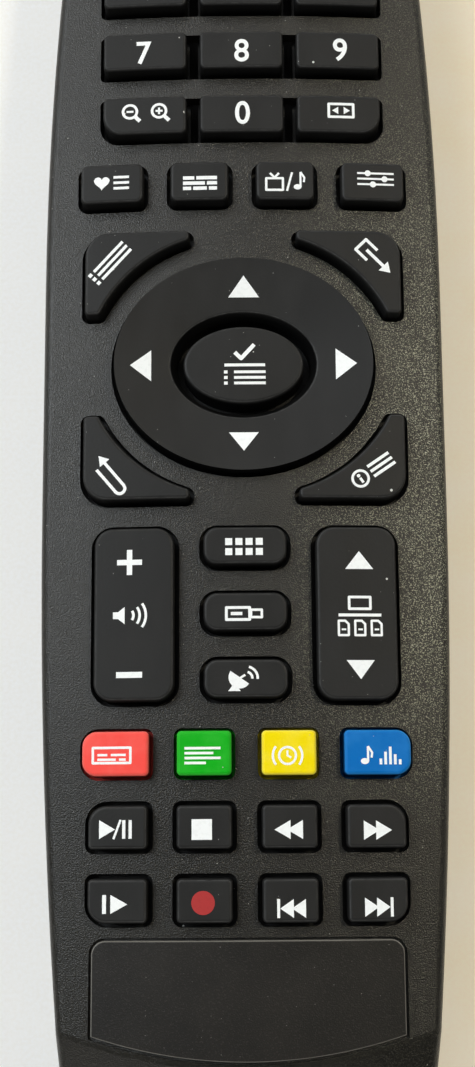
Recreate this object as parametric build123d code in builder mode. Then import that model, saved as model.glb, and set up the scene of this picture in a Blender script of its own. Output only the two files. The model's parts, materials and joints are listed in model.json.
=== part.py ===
from build123d import *
import os
from math import acos, asin, cos, radians, sin, tan

os.makedirs("parts", exist_ok=True)

# Millimetres. X is across the handset, +Y points from the heel to the infrared end, +Z is up
# through the keys. The origin is on the resting plane, under the middle of the length.

# Plan outline of the body
HALF_WIDTH = 25.35
SIDE_LOW_Y = -10.0
SIDE_HIGH_Y = 20.0
HIP = (21.2, -89.0)
SHOULDER = (20.3, 91.0)
HEEL_END_Y = -95.0
FRONT_END_Y = 95.0
HEEL_CORNER_RADIUS = 8.0
FRONT_CORNER_RADIUS = 7.0

# Heights
SPLIT_HEIGHT = 11.0
DECK_HEIGHT = 21.8
CROWN_RADIUS = 180.0
DECK_THICKNESS = 2.0
WALL = 2.0
FLOOR = 2.4
DECK_EDGE_RADIUS = 1.3
BASE_INSET = 1.5
BASE_EDGE_RADIUS = 2.6
PARTING_CHAMFER = 0.25
OVERSIZE = 60.0

# Sloping heel: a surface of revolution that meets the crowned deck along a curved crease
HEEL_AXIS_Y = -43.4
HEEL_RADIUS = 33.1
HEEL_SLOPE = 20.0
HEEL_BEND_RADIUS = 110.0
HEEL_BEND = 13.0
HEEL_INNER = 8.0
CREASE_RADIUS = 1.8

# Badge plate, let into the deck beside the crease
BADGE_HALF_WIDTH = 18.5
BADGE_TOP_Y = -62.1
BADGE_SIDE_Y = -73.0
BADGE_MIDDLE_Y = -75.85
BADGE_CORNER_RADIUS = 1.6
BADGE_GROOVE = 0.32
BADGE_DEPTH = 0.7
BADGE_PROUD = 0.1
BADGE_EDGE_RADIUS = 0.2
RECESS_CHAMFER = 0.12

# Keys: a size is that of the opening in the deck, and the key is smaller by a gap all round.
# The sizes of the number keys, the ring and the middle key are those of the piece itself.
KEY_GAP = 0.55
COLOUR_KEY_GAP = 0.42
KEY_RISE = 2.1
KEY_EDGE_RADIUS = 0.45
FLANGE_REACH = 1.0
FLANGE_TOP = -2.2
FLANGE_BOTTOM = -3.0
STEM_RADIUS = 1.6
STEM_HOLE_CLEARANCE = 0.4
STEM_ROOT_HEIGHT = 19.5

NUMBER_PITCH_X = 12.45
NUMBER_PITCH_Y = 8.85
NUMBER_BOTTOM_ROW_Y = 41.05
NUMBER_KEY_WIDTH = 10.75
NUMBER_SLOT_HEIGHT = 6.2
NUMBER_FLANGE_SIDE = 0.3
NUMBER_CORNER_RADIUS = 2.5
SMALL_CORNER_RADIUS = 0.7

POWER_CENTRE = (14.2, 79.3)
POWER_RADIUS = 4.0

FUNCTION_ROW_Y = 31.9
FUNCTION_ROW_HEIGHT = 6.3
FUNCTION_INNER = (5.45, 8.5)
FUNCTION_OUTER = (16.6, 9.1)
FUNCTION_CORNER_RADIUS = 1.4

# Navigation pad: the ring is dished, from a level rim down to the lip of its hole
PAD_CENTRE_Y = 7.95
PAD_SIZE = (33.4, 28.6)
RING_SIZE = (32.3, 27.4)
RING_RIM_HEIGHT = 23.55
RING_LIP_HEIGHT = 22.6
RING_LIP_RADIUS = 0.25
RING_LIP_SIZE = (18.3, 13.7)
RING_HOLE_SIZE = (16.9, 12.2)
RING_HOLE_BEVEL = 1.5
OK_SIZE = (15.1, 10.0)
OK_RISE = 0.85
OK_FLANGE_SIZE = (19.2, 14.8)
OK_FLANGE_TOP = -3.85
OK_FLANGE_BOTTOM = -4.55

CORNER_KEY_OUTER_X = 20.5
CORNER_KEY_INNER_X = 6.2
CORNER_KEY_NEAR_Y = 6.0
CORNER_KEY_FAR_Y = 17.9
CORNER_KEY_PAD_SPACE = 2.3
CORNER_KEY_RADIUS = 3.6
CORNER_KEY_TIP_RADIUS = 1.1

ROCKER_CENTRE = (13.5, -23.5)
ROCKER_SIZE = (10.85, 22.2)
ROCKER_CORNER_RADIUS = 2.8
ROCKER_STEM_Y = 7.0
TILT_FLANGE_TOP = -2.85
TILT_FLANGE_BOTTOM = -3.55
TILT_STEM_HEIGHT = 15.85

SOURCE_COLUMN_Y = (-15.25, -23.35, -31.45)
SOURCE_SIZE = (11.25, 5.7)
SOURCE_CORNER_RADIUS = 2.2

COLOUR_ROW_Y = -40.3
COLOUR_ROW_HEIGHT = 6.15
COLOUR_INNER = (5.05, 7.4)
COLOUR_OUTER = (15.65, 8.85)
COLOUR_OUTER_RADIUS = 2.2
COLOUR_INNER_RADIUS = 1.0

TRANSPORT_ROWS_Y = (-48.95, -57.45)
TRANSPORT_ROW_HEIGHT = 6.2
TRANSPORT_INNER = (5.05, 7.7)
TRANSPORT_OUTER = (15.3, 8.15)
TRANSPORT_OUTER_RADIUS = 2.7
TRANSPORT_INNER_RADIUS = 1.1

# Rocking skirt under the navigation ring
SKIRT_SIZE = (28.8, 24.0)
SKIRT_HOLE_SIZE = (20.0, 15.4)
SKIRT_BOTTOM = 17.2
SKIRT_TOP = 17.9
SKIRT_STEM_X = 12.3
RING_STEM_Y = 10.2
RING_STEM_WELL_RADIUS = 2.1
RING_UNDERSIDE = 18.6
RING_WALL = 1.3
RING_FLANGE_REACH = 0.85

# Board stack
BOARD_INSET = 3.4
BOARD_HEEL_Y = -63.0
BOARD_FRONT_Y = 85.0
BOARD_BOTTOM = 14.2
BOARD_THICKNESS = 1.1
MAT_THICKNESS = 0.9
STEM_HEIGHT = 16.15
RIB_THICKNESS = 0.9
RIB_ROWS_Y = (-35.85, 36.5)
RIB_HALF_LENGTH = 19.0

# Infrared emitter and its window
WINDOW_HALF_WIDTH = 12.0
WINDOW_LOW = 8.8
WINDOW_HIGH = 16.4
WINDOW_CLEARANCE = 0.1
WINDOW_THICKNESS = 1.6
WINDOW_SPACE_Y = 85.0
EMITTER_RADIUS = 2.5
EMITTER_COLLAR_RADIUS = 2.9
EMITTER_COLLAR = 1.0
EMITTER_HEIGHT = 12.5
EMITTER_BACK_Y = 81.0
EMITTER_BODY = 6.0
EMITTER_NOTCH_HALF_WIDTH = 4.0
EMITTER_NOTCH_Y = 77.0
LEAD_SIZE = 0.5
LEAD_PITCH = 2.54

# Other parts on the underside of the board
CHIP_CENTRE = (0.0, 52.0)
CHIP_SIZE = (7.6, 15.4, 2.0)
CHIP_PINS = 10
CHIP_PIN_PITCH = 1.27
CHIP_PIN_SIZE = (1.4, 0.45, 0.3)
RESONATOR_CENTRE = (-9.0, 66.0)
RESONATOR_SIZE = (7.0, 3.0, 5.0)
RESONATOR_CORNER_RADIUS = 1.0
CAPACITOR_CENTRE = (9.0, 66.0)
CAPACITOR_RADIUS = 2.5
CAPACITOR_HEIGHT = 7.0
CAPACITOR_EDGE_RADIUS = 0.4

# Battery bay, cells and contacts
CELL_RADIUS = 5.2
CELL_BODY = 43.3
CELL_NUB_RADIUS = 1.9
CELL_NUB = 1.2
CELL_X = 5.7
CELL_HEIGHT = 7.6
BAY_HALF_WIDTH = 11.6
BAY_HEEL_Y = -59.5
BAY_FRONT_Y = -9.0
BAY_ROOF = 12.95
BAY_WALL = 1.3
CONTACT_THICKNESS = 0.5
CONTACT_SIZE = (9.0, 8.0)
LEAF_WIDTH = 7.0
LEAF_THICKNESS = 0.4
LEAF_ROOT_HALF_HEIGHT = 4.0
LEAF_TIP_DROP = 2.5

# Battery door
DOOR_HALF_WIDTH = 15.5
DOOR_FRONT_Y = -5.0
DOOR_LOW = 0.3
DOOR_THICKNESS = 1.7
DOOR_CLEARANCE = 0.2
TONGUE_REACH = 1.1
TONGUE_LOW = 0.95
TONGUE_HIGH = 1.55
TONGUE_HEEL_Y = -80.0
GRIP_GROOVES = 5
GRIP_PITCH = 2.0
GRIP_Y = -22.0

# Screws
SCREW_X = 10.0
SCREW_Y = -68.0
SCREW_RADIUS = 1.1
SCREW_HEAD_RADIUS = 2.1
SCREW_HEAD_HEIGHT = 1.5
SCREW_SHELF = 6.0
SCREW_LENGTH = 10.0
SCREW_HEAD_CLEARANCE = 0.3
SCREW_SHANK_CLEARANCE = 0.1
SCREW_WELL_WALL = 1.0
BOSS_RADIUS = 2.8
BOSS_BOTTOM = 10.0
POST_RADIUS = 2.2
POSTS = [(15.0, 50.0), (13.0, 73.0), (15.0, 5.0)]

LEFT_RIGHT = (-1, 1)
# cutting tools stand this far out of what they cut
CUT_MARGIN = 1.0
# a face whose normal rises less than this is upright
LEVEL = 0.01
BOARD_TOP = BOARD_BOTTOM + BOARD_THICKNESS
MAT_TOP = BOARD_TOP + MAT_THICKNESS


# ---------------------------------------------------------------- outlines

def body_outline(inset=0.0):
    """Plan outline of the handset, drawn inside the outer wall by the inset."""
    with BuildSketch() as outline:
        with BuildLine():
            side = Line((HALF_WIDTH, SIDE_LOW_Y), (HALF_WIDTH, SIDE_HIGH_Y))
            TangentArc(side @ 1, SHOULDER, tangent=(0, 1))
            TangentArc(side @ 0, HIP, tangent=(0, -1))
            TangentArc((0, FRONT_END_Y), SHOULDER, tangent=(1, 0))
            TangentArc((0, HEEL_END_Y), HIP, tangent=(1, 0))
            mirror(about=Plane.YZ)
        make_face()
        for corner, radius in ((SHOULDER, FRONT_CORNER_RADIUS), (HIP, HEEL_CORNER_RADIUS)):
            for side_sign in LEFT_RIGHT:
                point = (side_sign * corner[0], corner[1], 0)
                fillet(outline.vertices().sort_by_distance(point)[0], radius)
        if inset > 0:
            offset(amount=-inset, mode=Mode.REPLACE)
    return outline.sketch


def block_outline(centre, size, radii):
    """Rectangle with its own radius at each corner: far left, far right, near right, near left."""
    with BuildSketch() as outline:
        with Locations(centre):
            Rectangle(*size)
        for (side_x, side_y), radius in zip(((-1, 1), (1, 1), (1, -1), (-1, -1)), radii):
            corner = (centre[0] + side_x * size[0] / 2, centre[1] + side_y * size[1] / 2, 0)
            fillet(outline.vertices().sort_by_distance(corner)[0], radius)
    return outline.sketch


def oval_outline(size, centre=(0.0, PAD_CENTRE_Y)):
    """Ellipse of the given full width and height."""
    with BuildSketch() as outline:
        with Locations(centre):
            Ellipse(size[0] / 2, size[1] / 2)
    return outline.sketch


def ring_outline(size, hole_size):
    """Elliptical ring around the middle of the navigation pad."""
    with BuildSketch() as outline:
        add(oval_outline(size))
        add(oval_outline(hole_size), mode=Mode.SUBTRACT)
    return outline.sketch


def disc_outline(centre, radius):
    """Circle."""
    with BuildSketch() as outline:
        with Locations(centre):
            Circle(radius)
    return outline.sketch


def corner_outline(side_x, side_y):
    """Wing-shaped opening whose inner side is an arc that keeps its distance from the pad."""
    half_width, half_height = (length / 2 + CORNER_KEY_PAD_SPACE for length in PAD_SIZE)
    first = acos(CORNER_KEY_INNER_X / half_width)
    last = asin(CORNER_KEY_NEAR_Y / half_height)

    def place(x, y):
        return (side_x * x, PAD_CENTRE_Y + side_y * y)

    inner_arc = [place(half_width * cos(angle), half_height * sin(angle))
                 for angle in (first, (first + last) / 2, last)]
    with BuildSketch() as outline:
        with BuildLine():
            ThreePointArc(*inner_arc)
            Polyline(inner_arc[2], place(CORNER_KEY_OUTER_X, CORNER_KEY_NEAR_Y),
                     place(CORNER_KEY_OUTER_X, CORNER_KEY_FAR_Y),
                     place(CORNER_KEY_INNER_X, CORNER_KEY_FAR_Y), inner_arc[0])
        make_face()
        outer_corner = (*place(CORNER_KEY_OUTER_X, CORNER_KEY_FAR_Y), 0)
        fillet(outline.vertices().sort_by_distance(outer_corner)[0], CORNER_KEY_RADIUS)
        near_tip = (*place(CORNER_KEY_OUTER_X, CORNER_KEY_NEAR_Y), 0)
        inner_tip = (*place(CORNER_KEY_INNER_X, CORNER_KEY_FAR_Y), 0)
        tips = outline.vertices().sort_by_distance(near_tip)[:2]
        tips += outline.vertices().sort_by_distance(inner_tip)[:2]
        fillet(tips, CORNER_KEY_TIP_RADIUS)
    return outline.sketch


def resized(outline, amount):
    """The outline moved outward by an even distance, or inward if it is negative."""
    with BuildSketch() as result:
        offset(outline, amount=amount, mode=Mode.ADD)
    return result.sketch


def badge_outline(groove=0.0):
    """Plate with two rounded far corners and a bowed near edge."""
    half_width = BADGE_HALF_WIDTH + groove
    near_y = BADGE_SIDE_Y - groove
    with BuildSketch() as outline:
        with BuildLine():
            Polyline((-half_width, near_y), (-half_width, BADGE_TOP_Y + groove),
                     (half_width, BADGE_TOP_Y + groove), (half_width, near_y))
            ThreePointArc((-half_width, near_y), (0, BADGE_MIDDLE_Y - groove), (half_width, near_y))
        make_face()
        fillet(outline.vertices().group_by(Axis.Y)[-1], BADGE_CORNER_RADIUS + groove)
    return outline.sketch


# ---------------------------------------------------------------- solids that share the crown

def crown_layer(low, high):
    """Curved slab over the whole plan, between two heights measured from the deck surface."""
    with BuildPart() as layer:
        with BuildSketch(Plane.XZ):
            with Locations((0, DECK_HEIGHT - CROWN_RADIUS)):
                Circle(CROWN_RADIUS + high)
                Circle(CROWN_RADIUS + low, mode=Mode.SUBTRACT)
            with Locations((0, DECK_HEIGHT)):
                Rectangle(OVERSIZE, OVERSIZE, mode=Mode.INTERSECT)
        extrude(amount=FRONT_END_Y + WALL, both=True)
    return layer.part


def prism(outline, low, high):
    """The outline raised into a slab with flat faces."""
    with BuildPart() as slab:
        with BuildSketch(Plane.XY.offset(low)):
            add(outline)
        extrude(amount=high - low)
    return slab.part


def crowned_slab(outline, low, high):
    """The outline raised into a slab whose two faces follow the crown of the deck."""
    with BuildPart() as slab:
        add(prism(outline, 0, OVERSIZE))
        add(crown_layer(low, high), mode=Mode.INTERSECT)
    return slab.part


def box_between(low, high):
    """Box from one corner to the opposite corner."""
    size = [b - a for a, b in zip(low, high)]
    middle = tuple((a + b) / 2 for a, b in zip(low, high))
    with BuildPart() as box:
        with Locations(middle):
            Box(*size)
    return box.part


def heel_space(drop=0.0):
    """All the space above the sloping heel, lowered by the drop."""
    start = (HEEL_INNER, DECK_HEIGHT - drop + (HEEL_RADIUS - HEEL_INNER) * tan(radians(HEEL_SLOPE)))
    crease = (HEEL_RADIUS, DECK_HEIGHT - drop)
    direction = (cos(radians(HEEL_SLOPE)), -sin(radians(HEEL_SLOPE)))
    with BuildPart() as space:
        with BuildSketch(Plane.XZ.offset(-HEEL_AXIS_Y)):
            with BuildLine():
                Line(start, crease)
                bend = JernArc(crease, direction, HEEL_BEND_RADIUS, -HEEL_BEND)
                Polyline(bend @ 1, ((bend @ 1).X, OVERSIZE), (HEEL_INNER, OVERSIZE), start)
            make_face()
        revolve(axis=Axis((0, HEEL_AXIS_Y, 0), (0, 0, 1)))
        split(bisect_by=Plane.XZ.offset(-HEEL_AXIS_Y), keep=Keep.TOP)
    return space.part


def upper_form(inset, drop, edge_radius=0.0):
    """Outer or inner form of the upper half: side walls, crowned deck and sloping heel."""
    with BuildPart() as form:
        add(prism(body_outline(inset), SPLIT_HEIGHT, OVERSIZE))
        add(crown_layer(-OVERSIZE / 2, -drop), mode=Mode.INTERSECT)
        add(heel_space(drop), mode=Mode.SUBTRACT)
        if edge_radius > 0:
            heel = form.faces().filter_by(GeomType.REVOLUTION)[0]
            crease = heel.edges().sort_by_distance((0, HEEL_AXIS_Y - HEEL_RADIUS, DECK_HEIGHT))[0]
            fillet(crease, CREASE_RADIUS)
            # then the upper ends of the side walls, all round
            walls = form.faces().filter_by(lambda face: abs(face.normal_at().Z) < LEVEL)
            upper_edges = walls.edges().filter_by(lambda edge: edge.center().Z > SPLIT_HEIGHT + CUT_MARGIN)
            fillet(upper_edges.filter_by(Axis.Z, reverse=True), edge_radius)
    return form.part


def lower_form(inset, floor, edge_radius=0.0):
    """Outer or inner form of the lower half: a shallow tub that narrows towards its base."""
    base_inset = inset + BASE_INSET * (1 - floor / SPLIT_HEIGHT)
    with BuildPart() as form:
        with BuildSketch(Plane.XY.offset(floor)):
            add(body_outline(base_inset))
        with BuildSketch(Plane.XY.offset(SPLIT_HEIGHT)):
            add(body_outline(inset))
        loft()
        if edge_radius > 0:
            fillet(form.faces().sort_by(Axis.Z)[0].edges(), edge_radius)
    return form.part


# ---------------------------------------------------------------- layout of the keys

def row_block(side, place, height, y, radii):
    """Opening of one key in a row of four, from its (distance from the middle, width)."""
    return block_outline((side * place[0], y), (place[1], height), radii)


def handed(side, outer_far, outer_near, inner):
    """Corner radii of a block whose outer corners lie on the given side."""
    if side < 0:
        return (outer_far, inner, inner, outer_near)
    return (inner, outer_far, outer_near, inner)


def number_radii(column, row):
    """The four corners of the whole number block are rounder than the others."""
    far = NUMBER_CORNER_RADIUS if row == 3 and column != 0 else SMALL_CORNER_RADIUS
    near = NUMBER_CORNER_RADIUS if row == 0 and column != 0 else SMALL_CORNER_RADIUS
    return handed(column, far, near, SMALL_CORNER_RADIUS)


number_slots = []
for row in range(4):
    slot_y = NUMBER_BOTTOM_ROW_Y + row * NUMBER_PITCH_Y
    slot_length = 2 * NUMBER_PITCH_X + NUMBER_KEY_WIDTH + 2 * KEY_GAP
    far_radius = NUMBER_CORNER_RADIUS if row == 3 else SMALL_CORNER_RADIUS
    near_radius = NUMBER_CORNER_RADIUS if row == 0 else SMALL_CORNER_RADIUS
    number_slots.append(block_outline((0, slot_y), (slot_length, NUMBER_SLOT_HEIGHT),
                                      (far_radius, far_radius, near_radius, near_radius)))

number_names = [["zoom_key", "digit_0_key", "format_key"],
                ["digit_7_key", "digit_8_key", "digit_9_key"],
                ["digit_4_key", "digit_5_key", "digit_6_key"],
                ["digit_1_key", "digit_2_key", "digit_3_key"]]
number_keys = {}
for row, names in enumerate(number_names):
    for column, key_name in zip((-1, 0, 1), names):
        key_centre = (column * NUMBER_PITCH_X, NUMBER_BOTTOM_ROW_Y + row * NUMBER_PITCH_Y)
        key_size = (NUMBER_KEY_WIDTH, NUMBER_SLOT_HEIGHT - 2 * KEY_GAP)
        number_keys[key_name] = block_outline(key_centre, key_size, number_radii(column, row))

openings = {}
openings["power_key"] = disc_outline((-POWER_CENTRE[0], POWER_CENTRE[1]), POWER_RADIUS)
openings["mute_key"] = disc_outline(POWER_CENTRE, POWER_RADIUS)

function_radii = (FUNCTION_CORNER_RADIUS,) * 4
for key_name, side, place in (("favourites_key", -1, FUNCTION_OUTER), ("guide_key", -1, FUNCTION_INNER),
                              ("tv_radio_key", 1, FUNCTION_INNER), ("options_key", 1, FUNCTION_OUTER)):
    openings[key_name] = row_block(side, place, FUNCTION_ROW_HEIGHT, FUNCTION_ROW_Y, function_radii)

for key_name, side_x, side_y in (("menu_key", -1, 1), ("exit_key", 1, 1),
                                 ("recall_key", -1, -1), ("info_key", 1, -1)):
    openings[key_name] = corner_outline(side_x, side_y)

for key_name, key_y in zip(("apps_key", "usb_key", "satellite_key"), SOURCE_COLUMN_Y):
    openings[key_name] = block_outline((0, key_y), SOURCE_SIZE, (SOURCE_CORNER_RADIUS,) * 4)

for key_name, side, place in (("red_key", -1, COLOUR_OUTER), ("green_key", -1, COLOUR_INNER),
                              ("yellow_key", 1, COLOUR_INNER), ("blue_key", 1, COLOUR_OUTER)):
    outer_radius = COLOUR_OUTER_RADIUS if place is COLOUR_OUTER else COLOUR_INNER_RADIUS
    colour_radii = handed(side, outer_radius, outer_radius, COLOUR_INNER_RADIUS)
    openings[key_name] = row_block(side, place, COLOUR_ROW_HEIGHT, COLOUR_ROW_Y, colour_radii)

transport_names = [["play_pause_key", "stop_key", "rewind_key", "fast_forward_key"],
                   ["step_key", "record_key", "previous_key", "next_key"]]
for row, names in enumerate(transport_names):
    for key_name, side, place in zip(names, (-1, -1, 1, 1), (TRANSPORT_OUTER, TRANSPORT_INNER,
                                                            TRANSPORT_INNER, TRANSPORT_OUTER)):
        outer_radius = TRANSPORT_OUTER_RADIUS if place is TRANSPORT_OUTER else TRANSPORT_INNER_RADIUS
        far_radius = outer_radius if row == 0 else TRANSPORT_INNER_RADIUS
        near_radius = TRANSPORT_INNER_RADIUS if row == 0 else outer_radius
        transport_radii = handed(side, far_radius, near_radius, TRANSPORT_INNER_RADIUS)
        openings[key_name] = row_block(side, place, TRANSPORT_ROW_HEIGHT,
                                       TRANSPORT_ROWS_Y[row], transport_radii)

rocker_openings = {}
for key_name, side in (("volume_rocker", -1), ("channel_rocker", 1)):
    rocker_openings[key_name] = block_outline((side * ROCKER_CENTRE[0], ROCKER_CENTRE[1]), ROCKER_SIZE,
                                              (ROCKER_CORNER_RADIUS,) * 4)


def stem_place(outline):
    """Where the stem of a key stands: under the middle of its outline."""
    centre = outline.face().center(CenterOf.MASS)
    return (centre.X, centre.Y)


all_key_outlines = {**number_keys, **openings}
stems = [stem_place(outline) for outline in all_key_outlines.values()]
stems += [(0, PAD_CENTRE_Y), (SKIRT_STEM_X, PAD_CENTRE_Y), (-SKIRT_STEM_X, PAD_CENTRE_Y)]
stems += [(0, PAD_CENTRE_Y + RING_STEM_Y), (0, PAD_CENTRE_Y - RING_STEM_Y)]
for side in LEFT_RIGHT:
    for end in LEFT_RIGHT:
        stems.append((side * ROCKER_CENTRE[0], ROCKER_CENTRE[1] + end * ROCKER_STEM_Y))


# ---------------------------------------------------------------- housing

deck_holes = [*number_slots, *openings.values(), *rocker_openings.values(), oval_outline(PAD_SIZE)]

with BuildPart() as upper_housing:
    add(upper_form(0, 0, DECK_EDGE_RADIUS))
    chamfer(upper_housing.faces().sort_by(Axis.Z)[0].edges(), PARTING_CHAMFER)
    add(upper_form(WALL, DECK_THICKNESS), mode=Mode.SUBTRACT)
    # bosses for the two screws, under the badge plate
    with Locations(*[(side * SCREW_X, SCREW_Y, BOSS_BOTTOM) for side in LEFT_RIGHT]):
        Cylinder(BOSS_RADIUS, DECK_HEIGHT - DECK_THICKNESS - BOSS_BOTTOM,
                 align=(Align.CENTER, Align.CENTER, Align.MIN))
    # ribs that hold the keypad mat down on the board
    for rib_y in RIB_ROWS_Y:
        add(box_between((-RIB_HALF_LENGTH, rib_y - RIB_THICKNESS / 2, MAT_TOP),
                        (RIB_HALF_LENGTH, rib_y + RIB_THICKNESS / 2, DECK_HEIGHT - DECK_THICKNESS)))
    # key openings
    with BuildSketch(Plane.XY.offset(DECK_HEIGHT - 2 * DECK_THICKNESS - CUT_MARGIN)):
        for hole in deck_holes:
            add(hole)
    extrude(amount=OVERSIZE, mode=Mode.SUBTRACT)
    # recess of the badge plate, with a broken edge
    add(crowned_slab(badge_outline(BADGE_GROOVE), -BADGE_DEPTH, KEY_RISE), mode=Mode.SUBTRACT)
    deck = upper_housing.faces().filter_by(GeomType.CYLINDER).sort_by(SortBy.AREA)[-1]
    chamfer(deck.inner_wires().sort_by(Axis.Y)[0].edges(), RECESS_CHAMFER)
    # pilot holes of the screws
    with Locations(*[(side * SCREW_X, SCREW_Y, BOSS_BOTTOM) for side in LEFT_RIGHT]):
        Cylinder(SCREW_RADIUS, SCREW_LENGTH - BOSS_BOTTOM + SCREW_SHELF + CUT_MARGIN,
                 align=(Align.CENTER, Align.CENTER, Align.MIN), mode=Mode.SUBTRACT)
    # opening for the infrared window
    add(box_between((-WINDOW_HALF_WIDTH - WINDOW_CLEARANCE, WINDOW_SPACE_Y, 0),
                    (WINDOW_HALF_WIDTH + WINDOW_CLEARANCE, FRONT_END_Y + CUT_MARGIN,
                     WINDOW_HIGH + WINDOW_CLEARANCE)), mode=Mode.SUBTRACT)

with BuildPart() as lower_housing:
    add(lower_form(0, 0, BASE_EDGE_RADIUS))
    chamfer(lower_housing.faces().sort_by(Axis.Z)[-1].edges(), PARTING_CHAMFER)
    add(lower_form(WALL, FLOOR), mode=Mode.SUBTRACT)
    # battery bay
    add(box_between((-BAY_HALF_WIDTH - BAY_WALL, BAY_HEEL_Y - BAY_WALL, FLOOR / 2),
                    (BAY_HALF_WIDTH + BAY_WALL, BAY_FRONT_Y + BAY_WALL, BOARD_BOTTOM)))
    # posts under the board, and the wells of the screws
    with Locations(*[(side * x, y, FLOOR / 2) for x, y in POSTS for side in LEFT_RIGHT]):
        Cylinder(POST_RADIUS, BOARD_BOTTOM - FLOOR / 2, align=(Align.CENTER, Align.CENTER, Align.MIN))
    with Locations(*[(side * SCREW_X, SCREW_Y, FLOOR / 2) for side in LEFT_RIGHT]):
        Cylinder(BOSS_RADIUS + SCREW_WELL_WALL, BOSS_BOTTOM - FLOOR / 2,
                 align=(Align.CENTER, Align.CENTER, Align.MIN))
    add(box_between((-BAY_HALF_WIDTH, BAY_HEEL_Y, -CUT_MARGIN), (BAY_HALF_WIDTH, BAY_FRONT_Y, BAY_ROOF)),
        mode=Mode.SUBTRACT)
    with Locations(*[(side * SCREW_X, SCREW_Y, -CUT_MARGIN) for side in LEFT_RIGHT]):
        Cylinder(SCREW_HEAD_RADIUS + SCREW_HEAD_CLEARANCE, SCREW_SHELF + CUT_MARGIN,
                 align=(Align.CENTER, Align.CENTER, Align.MIN), mode=Mode.SUBTRACT)
        Cylinder(SCREW_RADIUS + SCREW_SHANK_CLEARANCE, BOSS_BOTTOM + 2 * CUT_MARGIN,
                 align=(Align.CENTER, Align.CENTER, Align.MIN), mode=Mode.SUBTRACT)
    # opening and side grooves of the battery door
    add(box_between((-DOOR_HALF_WIDTH - DOOR_CLEARANCE, HEEL_END_Y - CUT_MARGIN, -CUT_MARGIN),
                    (DOOR_HALF_WIDTH + DOOR_CLEARANCE, DOOR_FRONT_Y + DOOR_CLEARANCE,
                     DOOR_LOW + DOOR_THICKNESS + DOOR_CLEARANCE)), mode=Mode.SUBTRACT)
    groove_half_width = DOOR_HALF_WIDTH + TONGUE_REACH + DOOR_CLEARANCE
    add(box_between((-groove_half_width, HEEL_END_Y - CUT_MARGIN, TONGUE_LOW - DOOR_CLEARANCE),
                    (groove_half_width, DOOR_FRONT_Y + DOOR_CLEARANCE, TONGUE_HIGH + DOOR_CLEARANCE)),
        mode=Mode.SUBTRACT)
    # opening for the infrared window
    add(box_between((-WINDOW_HALF_WIDTH - WINDOW_CLEARANCE, WINDOW_SPACE_Y,
                     WINDOW_LOW - WINDOW_CLEARANCE),
                    (WINDOW_HALF_WIDTH + WINDOW_CLEARANCE, FRONT_END_Y + CUT_MARGIN, OVERSIZE)),
        mode=Mode.SUBTRACT)

with BuildPart() as battery_door:
    add(lower_form(0, 0, BASE_EDGE_RADIUS))
    add(box_between((-DOOR_HALF_WIDTH, HEEL_END_Y, DOOR_LOW),
                    (DOOR_HALF_WIDTH, DOOR_FRONT_Y, DOOR_LOW + DOOR_THICKNESS)), mode=Mode.INTERSECT)
    tongue_half_width = DOOR_HALF_WIDTH + TONGUE_REACH
    add(box_between((-tongue_half_width, TONGUE_HEEL_Y, TONGUE_LOW),
                    (tongue_half_width, DOOR_FRONT_Y - WALL, TONGUE_HIGH)))
    # thumb grip
    with Locations(*[(0, GRIP_Y + step * GRIP_PITCH, DOOR_LOW) for step in range(GRIP_GROOVES)]):
        Box(DOOR_HALF_WIDTH, GRIP_PITCH / 2, DOOR_THICKNESS / 2, mode=Mode.SUBTRACT)

with BuildPart() as badge_plate:
    add(crowned_slab(badge_outline(), -BADGE_DEPTH, BADGE_PROUD))
    fillet(badge_plate.faces().sort_by(Axis.Z)[-1].edges(), BADGE_EDGE_RADIUS)

with BuildPart() as infrared_window:
    with BuildSketch(Plane.XY.offset(WINDOW_LOW)):
        add(body_outline())
        add(body_outline(WINDOW_THICKNESS), mode=Mode.SUBTRACT)
        with Locations((0, FRONT_END_Y)):
            Rectangle(2 * WINDOW_HALF_WIDTH, OVERSIZE / 3, mode=Mode.INTERSECT)
    extrude(amount=WINDOW_HIGH - WINDOW_LOW)

with BuildPart() as housing_screws:
    with Locations(*[(side * SCREW_X, SCREW_Y, SCREW_SHELF) for side in LEFT_RIGHT]):
        Cylinder(SCREW_HEAD_RADIUS, SCREW_HEAD_HEIGHT, align=(Align.CENTER, Align.CENTER, Align.MAX))
        Cylinder(SCREW_RADIUS, SCREW_LENGTH, align=(Align.CENTER, Align.CENTER, Align.MIN))


# ---------------------------------------------------------------- board and electronics

def board_outline():
    """Plan of the board and the keypad mat, notched at the front for the infrared emitter."""
    with BuildSketch() as outline:
        add(body_outline(BOARD_INSET))
        with Locations((0, (BOARD_HEEL_Y + BOARD_FRONT_Y) / 2)):
            Rectangle(OVERSIZE, BOARD_FRONT_Y - BOARD_HEEL_Y, mode=Mode.INTERSECT)
        with Locations((0, EMITTER_NOTCH_Y)):
            Rectangle(2 * EMITTER_NOTCH_HALF_WIDTH, OVERSIZE, align=(Align.CENTER, Align.MIN),
                      mode=Mode.SUBTRACT)
    return outline.sketch


with BuildPart() as circuit_board:
    add(prism(board_outline(), BOARD_BOTTOM, BOARD_TOP))

with BuildPart() as keypad_mat:
    with BuildSketch(Plane.XY.offset(BOARD_TOP)):
        add(board_outline())
        with Locations(*stems):
            Circle(STEM_RADIUS + STEM_HOLE_CLEARANCE, mode=Mode.SUBTRACT)
    extrude(amount=MAT_THICKNESS)

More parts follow.
